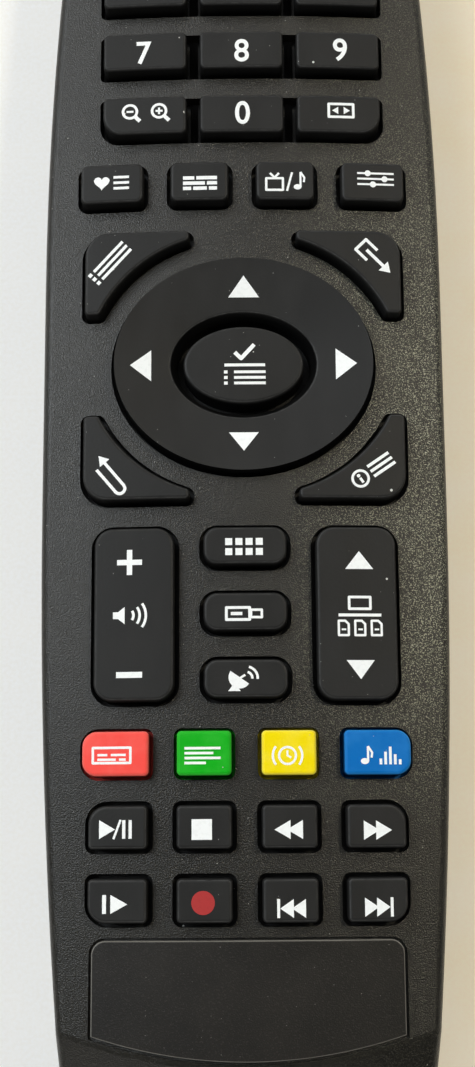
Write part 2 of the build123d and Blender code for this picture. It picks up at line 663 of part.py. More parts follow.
with BuildPart() as infrared_led:
    with BuildSketch(Plane.XZ.offset(-EMITTER_BACK_Y)):
        with Locations((0, EMITTER_HEIGHT)):
            Circle(EMITTER_COLLAR_RADIUS)
    extrude(amount=-EMITTER_COLLAR)
    with BuildSketch(Plane.XZ.offset(-EMITTER_BACK_Y)):
        with Locations((0, EMITTER_HEIGHT)):
            Circle(EMITTER_RADIUS)
    extrude(amount=-EMITTER_BODY)
    with Locations((0, EMITTER_BACK_Y + EMITTER_BODY, EMITTER_HEIGHT)):
        Sphere(EMITTER_RADIUS)
    for side in LEFT_RIGHT:
        lead_x = side * LEAD_PITCH / 2
        foot_y = EMITTER_NOTCH_Y - LEAD_PITCH / 2
        add(box_between((lead_x - LEAD_SIZE / 2, foot_y, EMITTER_HEIGHT - LEAD_SIZE / 2),
                        (lead_x + LEAD_SIZE / 2, EMITTER_BACK_Y, EMITTER_HEIGHT + LEAD_SIZE / 2)))
        add(box_between((lead_x - LEAD_SIZE / 2, foot_y - LEAD_SIZE, EMITTER_HEIGHT - LEAD_SIZE / 2),
                        (lead_x + LEAD_SIZE / 2, foot_y, BOARD_BOTTOM)))

with BuildPart() as controller_chip:
    with Locations((*CHIP_CENTRE, BOARD_BOTTOM)):
        Box(*CHIP_SIZE, align=(Align.CENTER, Align.CENTER, Align.MAX))
    for side in LEFT_RIGHT:
        pin_x = CHIP_CENTRE[0] + side * (CHIP_SIZE[0] + CHIP_PIN_SIZE[0]) / 2
        with Locations((pin_x, CHIP_CENTRE[1], BOARD_BOTTOM - CHIP_PIN_SIZE[2] / 2)):
            with GridLocations(CHIP_PIN_PITCH, CHIP_PIN_PITCH, 1, CHIP_PINS):
                Box(*CHIP_PIN_SIZE)

with BuildPart() as ceramic_resonator:
    with Locations((*RESONATOR_CENTRE, BOARD_BOTTOM)):
        Box(*RESONATOR_SIZE, align=(Align.CENTER, Align.CENTER, Align.MAX))
    fillet(ceramic_resonator.edges().filter_by(Axis.Z), RESONATOR_CORNER_RADIUS)

with BuildPart() as electrolytic_capacitor:
    with Locations((*CAPACITOR_CENTRE, BOARD_BOTTOM)):
        Cylinder(CAPACITOR_RADIUS, CAPACITOR_HEIGHT, align=(Align.CENTER, Align.CENTER, Align.MAX))
    fillet(electrolytic_capacitor.faces().sort_by(Axis.Z)[0].edges(), CAPACITOR_EDGE_RADIUS)


# ---------------------------------------------------------------- cells and contacts

def cell_ends(side):
    """Start of the can and the direction of the positive end; the two cells lie head to tail."""
    if side < 0:
        return BAY_FRONT_Y - CONTACT_THICKNESS - CELL_NUB - CELL_BODY, 1
    return BAY_HEEL_Y + CONTACT_THICKNESS + CELL_NUB + CELL_BODY, -1


with BuildPart() as aaa_cells:
    for side in LEFT_RIGHT:
        start_y, direction = cell_ends(side)
        for radius, length in ((CELL_RADIUS, CELL_BODY), (CELL_NUB_RADIUS, CELL_BODY + CELL_NUB)):
            with BuildSketch(Plane.XZ.offset(-start_y)):
                with Locations((side * CELL_X, CELL_HEIGHT)):
                    Circle(radius)
            extrude(amount=-direction * length)

with BuildPart() as battery_contact_plates:
    for side in LEFT_RIGHT:
        start_y, direction = cell_ends(side)
        plate_y = start_y + direction * (CELL_BODY + CELL_NUB + CONTACT_THICKNESS / 2)
        with Locations((side * CELL_X, plate_y, CELL_HEIGHT)):
            Box(CONTACT_SIZE[0], CONTACT_THICKNESS, CONTACT_SIZE[1])

with BuildPart() as battery_leaf_springs:
    for side in LEFT_RIGHT:
        start_y, direction = cell_ends(side)
        wall_y = BAY_HEEL_Y if direction > 0 else BAY_FRONT_Y
        root_y = wall_y + direction * LEAF_THICKNESS / 2
        tip_y = start_y - direction * LEAF_THICKNESS
        with BuildSketch(Plane.YZ.offset(side * CELL_X - LEAF_WIDTH / 2)):
            with BuildLine():
                Polyline((root_y, CELL_HEIGHT - LEAF_ROOT_HALF_HEIGHT),
                         (root_y, CELL_HEIGHT + LEAF_ROOT_HALF_HEIGHT),
                         (tip_y, CELL_HEIGHT), ((root_y + tip_y) / 2, CELL_HEIGHT - LEAF_TIP_DROP))
            trace(line_width=LEAF_THICKNESS)
        extrude(amount=LEAF_WIDTH)


# ---------------------------------------------------------------- keys

def make_key(cap_outline, flange_outline=None, stem_height=STEM_HEIGHT, stem_places=None,
             flange=(FLANGE_BOTTOM, FLANGE_TOP), rise=KEY_RISE):
    """One key: a crowned cap, a flange that stays under the deck and one or more stems."""
    cap = crowned_slab(cap_outline, flange[0], rise)
    collar = crowned_slab(flange_outline or resized(cap_outline, FLANGE_REACH), *flange)
    with BuildPart() as key:
        add(cap)
        fillet(key.faces().sort_by(Axis.Z)[-1].edges(), KEY_EDGE_RADIUS)
        add(collar)
        with BuildSketch(Plane.XY.offset(stem_height)):
            with Locations(*(stem_places or [stem_place(cap_outline)])):
                Circle(STEM_RADIUS)
        extrude(amount=STEM_ROOT_HEIGHT - stem_height)
    return key.part


key_parts = {}
# neighbours in the number block share an opening, so their flanges are narrow at the sides
number_flange_size = (NUMBER_KEY_WIDTH + 2 * NUMBER_FLANGE_SIDE,
                      NUMBER_SLOT_HEIGHT + 2 * (FLANGE_REACH - KEY_GAP))
for key_name, outline in number_keys.items():
    number_flange = block_outline(stem_place(outline), number_flange_size, (SMALL_CORNER_RADIUS,) * 4)
    key_parts[key_name] = make_key(outline, number_flange)
for key_name, outline in openings.items():
    coloured = key_name in ("red_key", "green_key", "yellow_key", "blue_key")
    key_parts[key_name] = make_key(resized(outline, -COLOUR_KEY_GAP if coloured else -KEY_GAP))
for key_name, outline in rocker_openings.items():
    centre_x, centre_y = stem_place(outline)
    rocker_stems = [(centre_x, centre_y + end * ROCKER_STEM_Y) for end in LEFT_RIGHT]
    key_parts[key_name] = make_key(resized(outline, -KEY_GAP), stem_height=TILT_STEM_HEIGHT,
                                   stem_places=rocker_stems, flange=(TILT_FLANGE_BOTTOM, TILT_FLANGE_TOP))
# the flange of the middle key lies under the navigation ring, inside the skirt
key_parts["ok_key"] = make_key(oval_outline(OK_SIZE), oval_outline(OK_FLANGE_SIZE),
                               flange=(OK_FLANGE_BOTTOM, OK_FLANGE_TOP), rise=OK_RISE)

# The skirt rocks left and right and carries the stems of those two directions.
with BuildPart() as navigation_skirt:
    add(prism(ring_outline(SKIRT_SIZE, SKIRT_HOLE_SIZE), SKIRT_BOTTOM, SKIRT_TOP))
    with BuildSketch(Plane.XY.offset(TILT_STEM_HEIGHT)):
        with Locations(*[(side * SKIRT_STEM_X, PAD_CENTRE_Y) for side in LEFT_RIGHT]):
            Circle(STEM_RADIUS)
    extrude(amount=SKIRT_TOP - TILT_STEM_HEIGHT)
    with Locations(*[(0, PAD_CENTRE_Y + end * RING_STEM_Y, SKIRT_TOP) for end in LEFT_RIGHT]):
        Hole(RING_STEM_WELL_RADIUS)

# The ring rocks up and down on the skirt and carries the stems of the other two directions.
ring_wall_hole = [length - 2 * RING_WALL for length in RING_SIZE]
ring_flange_size = [length + 2 * RING_FLANGE_REACH for length in RING_SIZE]
ring_hollow = prism(oval_outline(ring_wall_hole), 0, RING_UNDERSIDE)
ring_flange = crowned_slab(ring_outline(ring_flange_size, ring_wall_hole),
                           TILT_FLANGE_BOTTOM, TILT_FLANGE_TOP)
with BuildPart() as ring_dish:
    for dish_size, dish_height in ((RING_SIZE, RING_RIM_HEIGHT), (RING_LIP_SIZE, RING_LIP_HEIGHT),
                                   (RING_HOLE_SIZE, RING_LIP_HEIGHT - RING_HOLE_BEVEL),
                                   (RING_HOLE_SIZE, SPLIT_HEIGHT)):
        with BuildSketch(Plane.XY.offset(dish_height)):
            add(oval_outline(dish_size))
    loft(ruled=True)
with BuildPart() as navigation_ring:
    add(crowned_slab(oval_outline(RING_SIZE), TILT_FLANGE_BOTTOM, 2 * KEY_RISE))
    add(prism(oval_outline(PAD_SIZE), RING_RIM_HEIGHT, OVERSIZE), mode=Mode.SUBTRACT)
    add(ring_dish.part, mode=Mode.SUBTRACT)
    rims = navigation_ring.edges().filter_by(GeomType.ELLIPSE).group_by(Axis.Z)
    fillet(rims[-1], KEY_EDGE_RADIUS)
    fillet(rims[-2], RING_LIP_RADIUS)
    add(ring_hollow, mode=Mode.SUBTRACT)
    add(ring_flange)
    with BuildSketch(Plane.XY.offset(TILT_STEM_HEIGHT)):
        with Locations(*[(0, PAD_CENTRE_Y + end * RING_STEM_Y) for end in LEFT_RIGHT]):
            Circle(STEM_RADIUS)
    extrude(amount=STEM_ROOT_HEIGHT - TILT_STEM_HEIGHT)

fixed_parts = {"upper_housing": upper_housing.part, "lower_housing": lower_housing.part,
               "battery_door": battery_door.part, "badge_plate": badge_plate.part,
               "infrared_window": infrared_window.part, "housing_screws": housing_screws.part,
               "circuit_board": circuit_board.part, "keypad_mat": keypad_mat.part,
               "infrared_led": infrared_led.part, "controller_chip": controller_chip.part,
               "ceramic_resonator": ceramic_resonator.part,
               "electrolytic_capacitor": electrolytic_capacitor.part, "aaa_cells": aaa_cells.part,
               "battery_contact_plates": battery_contact_plates.part,
               "battery_leaf_springs": battery_leaf_springs.part,
               "navigation_skirt": navigation_skirt.part, "navigation_ring": navigation_ring.part}
for node_name, node_part in {**fixed_parts, **key_parts}.items():
    node_part.label = node_name
    export_step(node_part, f"parts/{node_name}.step")
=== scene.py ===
"""Remote control: its materials and the printing on its keys, with a table, lamps and a camera."""
import json
from math import ceil, cos, pi, radians, sin

import bpy
from mathutils import Matrix, Vector
from mathutils.bvhtree import BVHTree
from mathutils.geometry import delaunay_2d_cdt


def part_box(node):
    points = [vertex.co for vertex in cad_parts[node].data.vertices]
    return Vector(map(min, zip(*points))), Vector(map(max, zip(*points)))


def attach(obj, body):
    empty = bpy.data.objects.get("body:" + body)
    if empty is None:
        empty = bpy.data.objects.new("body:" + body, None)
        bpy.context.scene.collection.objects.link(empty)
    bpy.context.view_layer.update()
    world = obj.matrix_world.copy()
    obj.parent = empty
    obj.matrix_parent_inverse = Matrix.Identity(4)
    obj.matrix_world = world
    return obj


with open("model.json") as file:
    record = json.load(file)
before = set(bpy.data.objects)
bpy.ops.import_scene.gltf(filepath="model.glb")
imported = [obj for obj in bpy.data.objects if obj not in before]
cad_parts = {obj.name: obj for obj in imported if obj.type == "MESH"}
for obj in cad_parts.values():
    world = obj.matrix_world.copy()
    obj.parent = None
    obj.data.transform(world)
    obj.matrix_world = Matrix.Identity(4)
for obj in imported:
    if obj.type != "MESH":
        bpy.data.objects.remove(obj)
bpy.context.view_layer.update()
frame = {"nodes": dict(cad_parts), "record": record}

# Blender works in metres. The printing on the keys is drawn in millimetres, in the frame of the
# part: X across the handset, +Y towards the infrared end, +Z up through the keys.
MM = 0.001

# ---------------------------------------------------------------- camera

IMAGE_HEIGHT = 1067
FOCAL_PIXELS = 1600
SENSOR_LONG_SIDE = 36.0
NEAREST_SEEN = 0.01
CAMERA_PLACE = Vector((-0.0009, -0.0500, 0.2154))
CAMERA_TILT = radians(10.7)
CAMERA_ROLL = radians(-0.394)


def make_camera():
    """Camera above the lower half of the handset, tilted towards the infrared end."""
    level_right = Vector((1, 0, 0))
    level_up = Vector((0, cos(CAMERA_TILT), sin(CAMERA_TILT)))
    forward = Vector((0, sin(CAMERA_TILT), -cos(CAMERA_TILT)))
    right = cos(CAMERA_ROLL) * level_right + sin(CAMERA_ROLL) * level_up
    up = -sin(CAMERA_ROLL) * level_right + cos(CAMERA_ROLL) * level_up
    data = bpy.data.cameras.new("camera")
    data.sensor_width = SENSOR_LONG_SIDE
    data.lens = SENSOR_LONG_SIDE * FOCAL_PIXELS / IMAGE_HEIGHT
    data.clip_start = NEAREST_SEEN
    camera = bpy.data.objects.new("camera", data)
    bpy.context.scene.collection.objects.link(camera)
    turn = Matrix((right, up, -forward)).transposed().to_4x4()
    camera.matrix_world = Matrix.Translation(CAMERA_PLACE) @ turn
    bpy.context.scene.camera = camera


make_camera()
bpy.context.scene.view_settings.view_transform = "Standard"


# ---------------------------------------------------------------- nodes of the materials

# numbers of a Mix node's sockets for colours, whose names it also uses for its other sockets
MIX_FIRST, MIX_SECOND, MIX_RESULT = 6, 7, 2
# nearly all of a noise lies between the first two values, and most of it between the others
WHOLE_NOISE = (0.3, 0.7)
MIDDLE_NOISE = (0.35, 0.65)
# the Z of a normal between which dust begins to lie
DUSTY_RISE = (0.8, 0.9)
# the smallest and the largest speck of a kind, as shares of its usual radius
SPECK_SIZES = (0.45, 1.4)


def shade(colour, factor):
    """The colour made darker or lighter."""
    return tuple(factor * value for value in colour)


class Surface:
    """A Principled material in object space, with shorthands for noise, colour and bump.

    The plain colour and roughness it starts with are for readers that don't follow its nodes."""

    def __init__(self, name, colour, roughness, specular=0.5):
        self.material = bpy.data.materials.new(name)
        self.material.use_nodes = True
        self.tree = self.material.node_tree
        self.shader = self.tree.nodes["Principled BSDF"]
        self.shader.inputs["Base Color"].default_value = (*colour, 1)
        self.shader.inputs["Roughness"].default_value = roughness
        self.shader.inputs["Specular IOR Level"].default_value = specular
        coordinates = self.node("ShaderNodeTexCoord")
        self.place = coordinates.outputs["Object"]
        self.normal = coordinates.outputs["Normal"]

    def node(self, kind, **settings):
        made = self.tree.nodes.new(kind)
        for setting, value in settings.items():
            setattr(made, setting, value)
        return made

    def link(self, source, target):
        self.tree.links.new(source, target)

    def noise(self, size, detail=2.0, stretch=(1, 1, 1)):
        """Noise whose lumps are about that many millimetres across."""
        mapping = self.node("ShaderNodeMapping")
        mapping.inputs["Scale"].default_value = stretch
        self.link(self.place, mapping.inputs["Vector"])
        made = self.node("ShaderNodeTexNoise")
        made.inputs["Scale"].default_value = 1 / (size * MM)
        made.inputs["Detail"].default_value = detail
        self.link(mapping.outputs["Vector"], made.inputs["Vector"])
        return made.outputs["Fac"]

    def ranged(self, source, low, high, to_low=0.0, to_high=1.0):
        """The source between low and high, spread over another range."""
        made = self.node("ShaderNodeMapRange")
        made.clamp = True
        for socket, value in (("From Min", low), ("From Max", high),
                              ("To Min", to_low), ("To Max", to_high)):
            made.inputs[socket].default_value = value
        self.link(source, made.inputs["Value"])
        return made.outputs["Result"]

    def math(self, operation, first, second):
        """Arithmetic on two sources, of which the second may be a plain number."""
        made = self.node("ShaderNodeMath", operation=operation)
        self.link(first, made.inputs[0])
        if isinstance(second, (int, float)):
            made.inputs[1].default_value = second
        else:
            self.link(second, made.inputs[1])
        return made.outputs["Value"]

    def axis(self, name):
        """One coordinate of the place on the object, in metres."""
        made = self.node("ShaderNodeSeparateXYZ")
        self.link(self.place, made.inputs["Vector"])
        return made.outputs[name]

    def blend(self, factor, first, second):
        """Colour between two colours or sources."""
        made = self.node("ShaderNodeMix", data_type="RGBA")
        self.link(factor, made.inputs["Factor"])
        for socket, value in ((made.inputs[MIX_FIRST], first), (made.inputs[MIX_SECOND], second)):
            if isinstance(value, tuple):
                socket.default_value = (*value, 1)
            else:
                self.link(value, socket)
        return made.outputs[MIX_RESULT]

    def rise(self, low, high):
        """0 where the normal's Z is below the low value, 1 where it is above the high one."""
        parts = self.node("ShaderNodeSeparateXYZ")
        self.link(self.normal, parts.inputs["Vector"])
        return self.ranged(parts.outputs["Z"], low, high)

    def specks(self, spacing, radius, share):
        """Round spots of uneven size on faces that look up, in a share of a pattern's cells."""
        cells = self.node("ShaderNodeTexVoronoi", voronoi_dimensions="2D")
        cells.inputs["Scale"].default_value = 1 / (spacing * MM)
        self.link(self.place, cells.inputs["Vector"])
        chance = self.node("ShaderNodeSeparateXYZ")
        self.link(cells.outputs["Color"], chance.inputs["Vector"])
        smallest, largest = (factor * radius / spacing for factor in SPECK_SIZES)
        size = self.ranged(chance.outputs["Y"], 0, 1, smallest, largest)
        spot = self.math("LESS_THAN", cells.outputs["Distance"], size)
        chosen = self.math("LESS_THAN", chance.outputs["X"], share)
        return self.math("MULTIPLY", self.math("MULTIPLY", spot, chosen), self.rise(*DUSTY_RISE))

    def colour(self, source):
        self.link(source, self.shader.inputs["Base Color"])

    def uneven_roughness(self, noise, first, second):
        """Roughness that goes from the first value to the second as the noise rises."""
        self.link(self.ranged(noise, *WHOLE_NOISE, first, second), self.shader.inputs["Roughness"])

    def glow(self, colour, strength):
        """Light of its own that only the camera, reflections and clear parts see."""
        rays = self.node("ShaderNodeLightPath").outputs
        seen = self.math("MAXIMUM", rays["Is Camera Ray"], rays["Is Glossy Ray"])
        seen = self.math("MAXIMUM", seen, rays["Is Transmission Ray"])
        self.link(colour, self.shader.inputs["Emission Color"])
        self.link(self.math("MULTIPLY", seen, strength), self.shader.inputs["Emission Strength"])

    def bump(self, height, depth):
        """Relief of that depth in millimetres."""
        made = self.node("ShaderNodeBump")
        made.inputs["Distance"].default_value = depth * MM
        self.link(height, made.inputs["Height"])
        self.link(made.outputs["Normal"], self.shader.inputs["Normal"])


# ---------------------------------------------------------------- materials

# where glints of the warm lamp are painted on the grain peaks, in metres: from the middle of the
# handset to its right side, and along it from the transport keys to the rockers and from the pad to
# the number block, with the share of the painted glints at those two places
PAINTED_GLINT_ACROSS = (0.004, 0.021)
PAINTED_GLINT_BELOW_PAD = (-0.050, -0.026, 0.05, 1.0)
PAINTED_GLINT_ABOVE_PAD = (0.010, 0.045, 1.0, 0.15)
PAINTED_GLINT_RISE = (0.6, 0.85)


def grained_plastic(name, colour, grain_size, grain_depth, roughness, painted_glint_side):
    """Moulded ABS with the fine grain of a spark-eroded tool, and painted glints on its peaks, most
    on the right.
    """
    surface = Surface(name, colour, roughness, specular=0.42)
    grain = surface.noise(grain_size, detail=1.0)
    cloud = surface.noise(14.0, detail=3.0)
    clouded = surface.ranged(cloud, *MIDDLE_NOISE)
    mottled = surface.blend(clouded, shade(colour, 0.82), shade(colour, 1.18))
    # mask of the painted glints: the right side of the handset, fading towards both ends, on faces
    # that look up
    across = surface.ranged(surface.axis("X"), *PAINTED_GLINT_ACROSS, 0.0, painted_glint_side)
    along = surface.math("MULTIPLY", surface.ranged(surface.axis("Y"), *PAINTED_GLINT_BELOW_PAD),
                         surface.ranged(surface.axis("Y"), *PAINTED_GLINT_ABOVE_PAD))
    painted_glint_mask = surface.math("MULTIPLY", surface.math("MULTIPLY", across, along),
                        surface.rise(*PAINTED_GLINT_RISE))
    peaks = surface.ranged(grain, 0.54, 0.66, 0.0, 0.055)
    # painted glints: grain peaks made lighter inside that mask (worn holds them)
    painted_glint_peaks = surface.math("MULTIPLY", surface.ranged(grain, 0.55, 0.65), painted_glint_mask)
    grained = surface.blend(peaks, mottled, (0.42, 0.39, 0.31))
    worn = surface.blend(painted_glint_peaks, grained, (0.64, 0.64, 0.48))
    dust = surface.specks(spacing=1.9, radius=0.05, share=0.12)
    surface.colour(surface.blend(dust, worn, (0.34, 0.33, 0.30)))
    surface.uneven_roughness(grain, roughness + 0.05, roughness - 0.05)
    surface.bump(grain, grain_depth)
    return surface.material


def key_silicone(name, colour, roughness=0.5, painted_wall_shade=0.8, steep=(0.35, 0.75)):
    """Coated silicone: smooth and matte, with a faint orange peel, smears, dust and lint.

    Steep faces of the keys get painted shade that makes them darker than their tops, and a patchy
    painted highlight runs along the edge."""
    surface = Surface(name, colour, roughness, specular=0.2)
    peel = surface.noise(0.35, detail=1.0)
    smear = surface.noise(5.0, detail=3.0, stretch=(1, 0.45, 1))
    lighter = tuple(1.25 * value + 0.003 for value in colour)
    smeared = surface.blend(surface.ranged(smear, 0.4, 0.75), colour, lighter)
    dust = surface.specks(spacing=1.8, radius=0.045, share=0.13)
    lint = surface.specks(spacing=8.3, radius=0.12, share=0.2)
    dusty = surface.blend(dust, smeared, (0.26, 0.26, 0.25))
    specked = surface.blend(lint, dusty, (0.62, 0.62, 0.6))
    # painted shade: steep faces darker than the top
    painted_wall_shaded = surface.blend(surface.rise(*steep), shade(colour, painted_wall_shade), specked)
    # painted highlight: a patchy lighter band along the edge fillets
    edge = surface.math("MULTIPLY", surface.rise(0.72, 0.8), surface.rise(0.95, 0.9))
    patchy = surface.ranged(surface.noise(0.9), 0.3, 0.65, 0.25, 1.0)
    painted_edge_highlight = surface.math("MULTIPLY", edge, patchy)
    surface.colour(surface.blend(painted_edge_highlight, painted_wall_shaded, shade(colour, 3.2)))
    surface.uneven_roughness(smear, roughness - 0.06, roughness + 0.08)
    surface.bump(peel, 0.012)
    return surface.material


def coloured_silicone(name, colour, wear_and_highlight):
    """Pigmented silicone under a satin coat, worn lighter in places; painted highlight on its
    edges, painted shade on its sides.
    """
    surface = Surface(name, colour, 0.42, specular=0.12)
    surface.shader.inputs["Subsurface Weight"].default_value = 0.06
    surface.shader.inputs["Subsurface Radius"].default_value = (0.0012, 0.0008, 0.0006)
    patch = surface.noise(2.2, detail=3.0)
    worn = surface.blend(surface.ranged(patch, 0.45, 0.8, 0.0, 0.35), colour, wear_and_highlight)
    # painted highlight: the edge fillets lighter
    edge_highlighted = surface.blend(surface.rise(0.97, 0.45), worn, wear_and_highlight)
    dust = surface.specks(spacing=1.5, radius=0.045, share=0.14)
    dusty = surface.blend(dust, edge_highlighted, (0.75, 0.74, 0.7))
    # painted shade: the sides darker
    surface.colour(surface.blend(surface.rise(0.2, 0.5), shade(colour, 0.3), dusty))
    surface.uneven_roughness(patch, 0.34, 0.46)
    surface.bump(surface.noise(0.3, detail=1.0), 0.008)
    return surface.material


def plate_plastic():
    """Satin inlay, smoother than the deck around it, with a painted highlight along its edge."""
    surface = Surface("badge_plate_satin", (0.012, 0.011, 0.010), 0.42, specular=0.32)
    haze = surface.noise(6.0, detail=3.0)
    grain = surface.noise(0.17, detail=3.0)
    dark, light = (0.0070, 0.0060, 0.0050), (0.0125, 0.0108, 0.0090)
    hazy = surface.blend(surface.ranged(haze, 0.35, 0.7), dark, light)
    peaks = surface.ranged(grain, 0.56, 0.68, 0.0, 0.3)
    grained = surface.blend(peaks, hazy, (0.07, 0.064, 0.056))
    dust = surface.specks(spacing=1.1, radius=0.035, share=0.16)
    dusty = surface.blend(dust, grained, (0.22, 0.21, 0.20))
    # painted highlight: the plate's edge lighter
    surface.colour(surface.blend(surface.rise(0.97, 0.8), dusty, (0.21, 0.20, 0.18)))
    surface.uneven_roughness(grain, 0.5, 0.36)
    surface.bump(grain, 0.035)
    return surface.material


def window_plastic():
    """Polished infrared-pass acrylic, nearly black with a wine tint."""
    surface = Surface("window_acrylic", (0.012, 0.004, 0.006), 0.08)
    tint = surface.ranged(surface.noise(4.0), *WHOLE_NOISE)
    surface.colour(surface.blend(tint, (0.010, 0.003, 0.005), (0.018, 0.005, 0.008)))
    surface.uneven_roughness(surface.noise(1.2, detail=3.0), 0.05, 0.14)
    return surface.material


def ink(name, colour):
    """Screen-printed ink, slightly uneven, with a few pinholes worn through."""
    surface = Surface(name, colour, 0.5, specular=0.4)
    cover = surface.noise(0.5, detail=3.0)
    covered = surface.blend(surface.ranged(cover, 0.36, 0.5), shade(colour, 0.95), colour)
    pinholes = surface.specks(spacing=0.7, radius=0.035, share=0.10)
    surface.colour(surface.blend(pinholes, covered, shade(colour, 0.65)))
    surface.uneven_roughness(cover, 0.6, 0.42)
    surface.bump(surface.noise(0.15, detail=1.0), 0.004)
    return surface.material


def board_laminate():
    """Glass laminate under green solder mask, with its weave showing faintly."""
    surface = Surface("board_green_mask", (0.02, 0.11, 0.045), 0.35)
    weave = surface.noise(0.5, detail=1.0, stretch=(1, 0.25, 1))
    blotch = surface.ranged(surface.noise(7.0), *MIDDLE_NOISE)
    mask = surface.blend(blotch, (0.014, 0.09, 0.035), (0.028, 0.14, 0.06))
    threads = surface.ranged(weave, 0.5, 0.8, 0.0, 0.4)
    surface.colour(surface.blend(threads, mask, (0.06, 0.2, 0.09)))
    surface.bump(weave, 0.01)
    return surface.material


def cell_jacket():
    """Printed jacket of the dry cells: dark, with a copper-coloured band at the positive end."""
    surface = Surface("cell_printed_jacket", (0.05, 0.06, 0.07), 0.3)
    surface.shader.inputs["Metallic"].default_value = 0.6
    low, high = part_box("aaa_cells")
    half_length = (high.y - low.y) / 2
    along = surface.math("SUBTRACT", surface.axis("Y"), (low.y + high.y) / 2)
    # the two cells lie side by side and point opposite ways
    side = surface.ranged(surface.axis("X"), -0.0001, 0.0001, 1.0, -1.0)
    towards_positive = surface.math("MULTIPLY", along, side)
    band = surface.math("GREATER_THAN", towards_positive, 0.62 * half_length)
    streak = surface.noise(1.5, detail=3.0, stretch=(1, 0.2, 1))
    streaked = surface.ranged(streak, *WHOLE_NOISE)
    body = surface.blend(streaked, (0.03, 0.035, 0.042), (0.055, 0.062, 0.072))
    surface.colour(surface.blend(band, body, (0.62, 0.30, 0.12)))
    surface.uneven_roughness(streak, 0.24, 0.36)
    return surface.material


def plated_metal(name, colour, roughness):
    """Plated steel with drawn streaks."""
    surface = Surface(name, colour, roughness)
    surface.shader.inputs["Metallic"].default_value = 1.0
    streak = surface.noise(0.4, detail=3.0, stretch=(1, 0.1, 1))
    surface.colour(surface.blend(surface.ranged(streak, *MIDDLE_NOISE), shade(colour, 0.7), colour))
    surface.uneven_roughness(streak, roughness - 0.08, roughness + 0.12)
    surface.bump(streak, 0.003)
    return surface.material


def moulded_resin(name, colour, roughness):
    """Moulded or dipped resin of a small electronic part."""
    surface = Surface(name, colour, roughness)
    fleck = surface.noise(0.3)
    surface.colour(surface.blend(surface.ranged(fleck, *MIDDLE_NOISE), shade(colour, 0.75), colour))
    surface.bump(fleck, 0.006)
    return surface.material


WHITE_INK = ink("white_ink", (0.96, 0.985, 1.0))
RED_INK = ink("red_ink", (0.42, 0.024, 0.024))
KEY_BLACK = (0.0150, 0.0150, 0.0150)

# the material of each slot in the record
MATERIALS = {
    "deck_plastic": grained_plastic("deck_grained_abs", (0.0078, 0.0070, 0.0052), grain_size=0.15,
                                    grain_depth=0.06, roughness=0.315, painted_glint_side=0.55),
    "base_plastic": grained_plastic("base_grained_abs", (0.022, 0.0205, 0.018), grain_size=0.30,
                                    grain_depth=0.05, roughness=0.5, painted_glint_side=0.06),
    "badge_plastic": plate_plastic(),
    "window_plastic": window_plastic(),
    "key_rubber": key_silicone("key_silicone", KEY_BLACK),
    "red_rubber": coloured_silicone("red_silicone", (0.97, 0.088, 0.072), (0.98, 0.19, 0.16)),
    "green_rubber": coloured_silicone("green_silicone", (0.006, 0.43, 0.012), (0.05, 0.56, 0.05)),
    "yellow_rubber": coloured_silicone("yellow_silicone", (0.95, 0.755, 0.0005),
                                       (0.98, 0.84, 0.12)),
    "blue_rubber": coloured_silicone("blue_silicone", (0.001, 0.155, 0.52), (0.03, 0.26, 0.68)),
    "mat_rubber": key_silicone("mat_silicone", (0.018, 0.018, 0.018), 0.6),
    "board_laminate": board_laminate(),
    "chip_resin": moulded_resin("chip_epoxy", (0.02, 0.02, 0.021), 0.5),
    "resonator_resin": moulded_resin("resonator_dip", (0.55, 0.22, 0.03), 0.25),
    "capacitor_can": moulded_resin("capacitor_sleeve", (0.02, 0.025, 0.05), 0.3),
    "led_resin": moulded_resin("emitter_resin", (0.05, 0.035, 0.075), 0.12),
    "cell_can": cell_jacket(),
    "nickel_contact": plated_metal("nickel_plate", (0.62, 0.60, 0.56), 0.28),
    "screw_steel": plated_metal("zinc_plate", (0.55, 0.56, 0.57), 0.32),
}

# the sloping faces round the middle of the pad get a deeper painted shade
RING_SILICONE = key_silicone("ring_silicone", KEY_BLACK, painted_wall_shade=0.15, steep=(0.74, 0.93))


def dress_nodes():
    """Each CAD node takes the material of its slot in the record, the ring one with more painted
    shade on its sloping sides.
    """
    for row in frame["record"]["subparts"]:
        mesh = frame["nodes"][row["node"]].data
        mesh.materials.clear()
        mesh.materials.append(MATERIALS[row["material_slot"]])
    frame["nodes"]["navigation_ring"].data.materials[0] = RING_SILICONE


dress_nodes()


# ---------------------------------------------------------------- flat drawing, in millimetres

# the usual width of a line
LINE = 0.34


def bar(start, end, width=LINE):
    """Straight stroke with square ends."""
    start, end = Vector(start), Vector(end)
    along = (end - start).normalized()
    side = Vector((-along.y, along.x)) * width / 2
    return [start - side, end - side, end + side, start + side]


def arc(centre, radius, first, last, steps=16):
    """Points along an arc, from one angle in degrees to another."""
    angles = [radians(first + (last - first) * step / steps) for step in range(steps + 1)]
    return [Vector((centre[0] + radius * cos(a), centre[1] + radius * sin(a))) for a in angles]


def disc(centre, radius, steps=28):
    """Filled circle."""
    return arc(centre, radius, 0, 360, steps)[:-1]


def box(low, high):
    """Filled rectangle between two corners."""
    return [Vector(low), Vector((high[0], low[1])), Vector(high), Vector((low[0], high[1]))]


def stroke(points, width=LINE, closed=False):
    """Line of even width through the points, with round corners and square ends."""
    points = [Vector(point) for point in points]
    followers = points[1:] + points[:1] if closed else points[1:]
    corners = points if closed else points[1:-1]
    shapes = [bar(a, b, width) for a, b in zip(points, followers)]
    return shapes + [disc(corner, width / 2, 12) for corner in corners]


def ring(centre, radius, width=LINE):
    """Circle drawn as a line."""
    return stroke(disc(centre, radius), width, closed=True)


